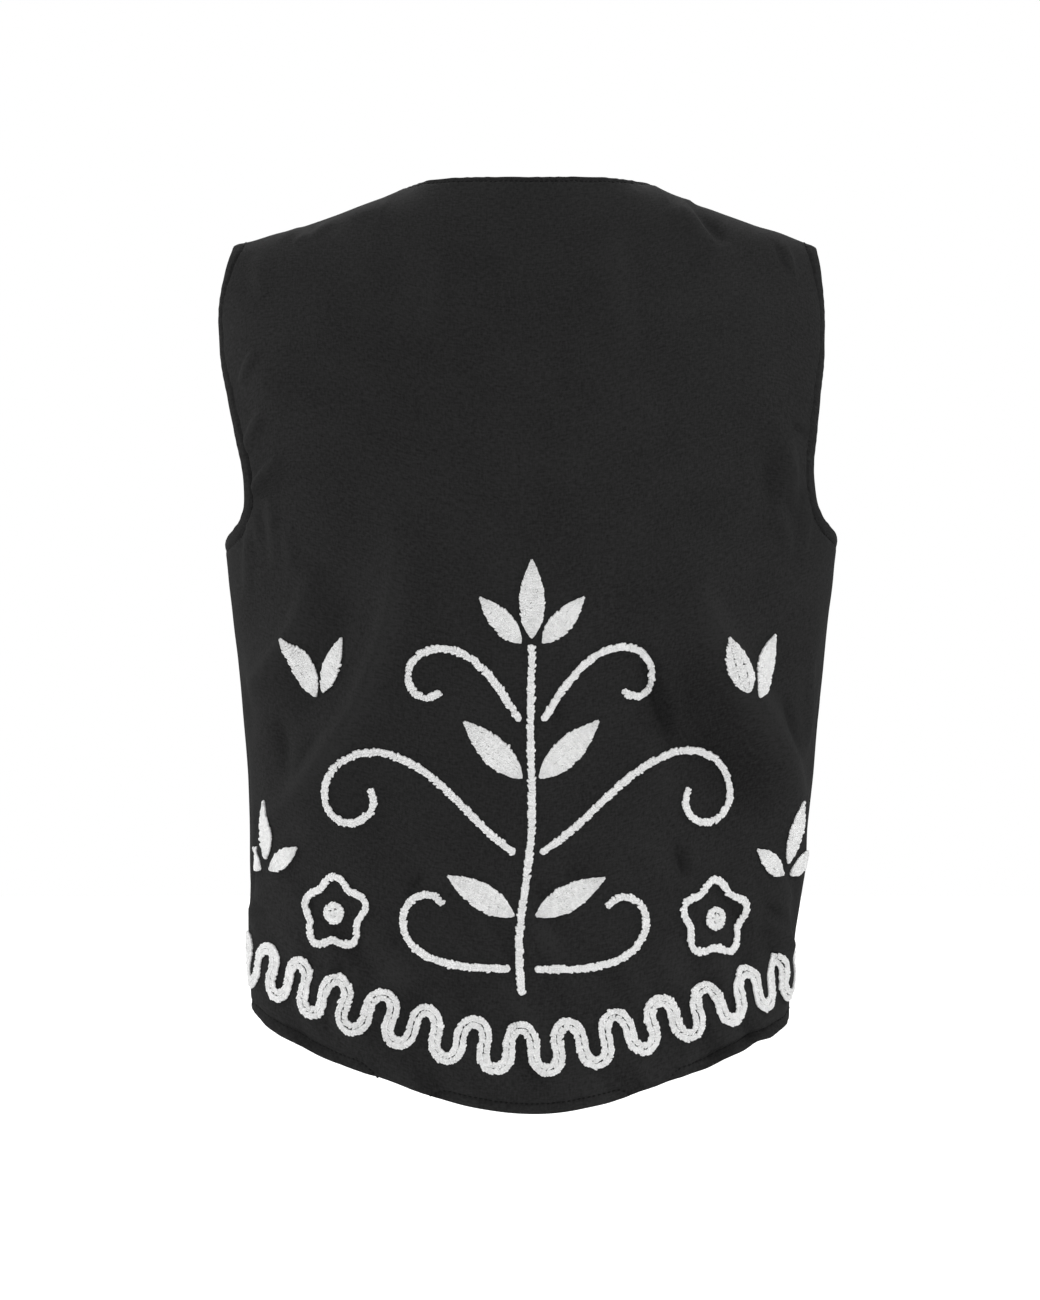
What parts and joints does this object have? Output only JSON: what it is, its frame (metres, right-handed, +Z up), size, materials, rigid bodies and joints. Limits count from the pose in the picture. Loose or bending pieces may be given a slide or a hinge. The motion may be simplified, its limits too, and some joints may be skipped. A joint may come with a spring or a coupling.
{
  "type": "embroidered gilet",
  "caption": "Sleeveless black cotton gilet in its worn hollow form: open V front, curved back hem, raised white corded embroidery on the back.",
  "frame": {"origin": "midway between the two neck points, at the top of the shoulder seams, where the wearer holds the gilet up", "axes": "+Z up, the back faces +Y, the fronts face -Y, +X is the wearer's left"},
  "size_m": [0.3807, 0.2337, 0.5653],
  "materials": {
    "cotton_black": "matte slubby plain weave",
    "yarn_white": "matte chain-stitched yarn"
  },
  "bodies": {
    "root": {"back": "cotton_black", "bloom_edge_left": "yarn_white", "bloom_edge_right": "yarn_white", "bloom_heart_left": "yarn_white", "bloom_heart_right": "yarn_white", "crown_leaf": "yarn_white", "front_left": "cotton_black", "front_right": "cotton_black", "hem_border": "yarn_white", "leaf_1_left": "yarn_white", "leaf_1_right": "yarn_white", "leaf_2_left": "yarn_white", "leaf_2_right": "yarn_white", "leaf_3_left": "yarn_white", "leaf_3_right": "yarn_white", "leaf_4_left": "yarn_white", "leaf_4_right": "yarn_white", "leaf_5_left": "yarn_white", "leaf_5_right": "yarn_white", "leaf_6_left": "yarn_white", "leaf_6_right": "yarn_white", "leaf_7_left": "yarn_white", "leaf_7_right": "yarn_white", "leaf_8_left": "yarn_white", "leaf_8_right": "yarn_white", "scroll_1_left": "yarn_white", "scroll_1_right": "yarn_white", "scroll_2_left": "yarn_white", "scroll_2_right": "yarn_white", "scroll_3_left": "yarn_white", "scroll_3_right": "yarn_white", "stem": "yarn_white"}
  },
  "joints": []
}
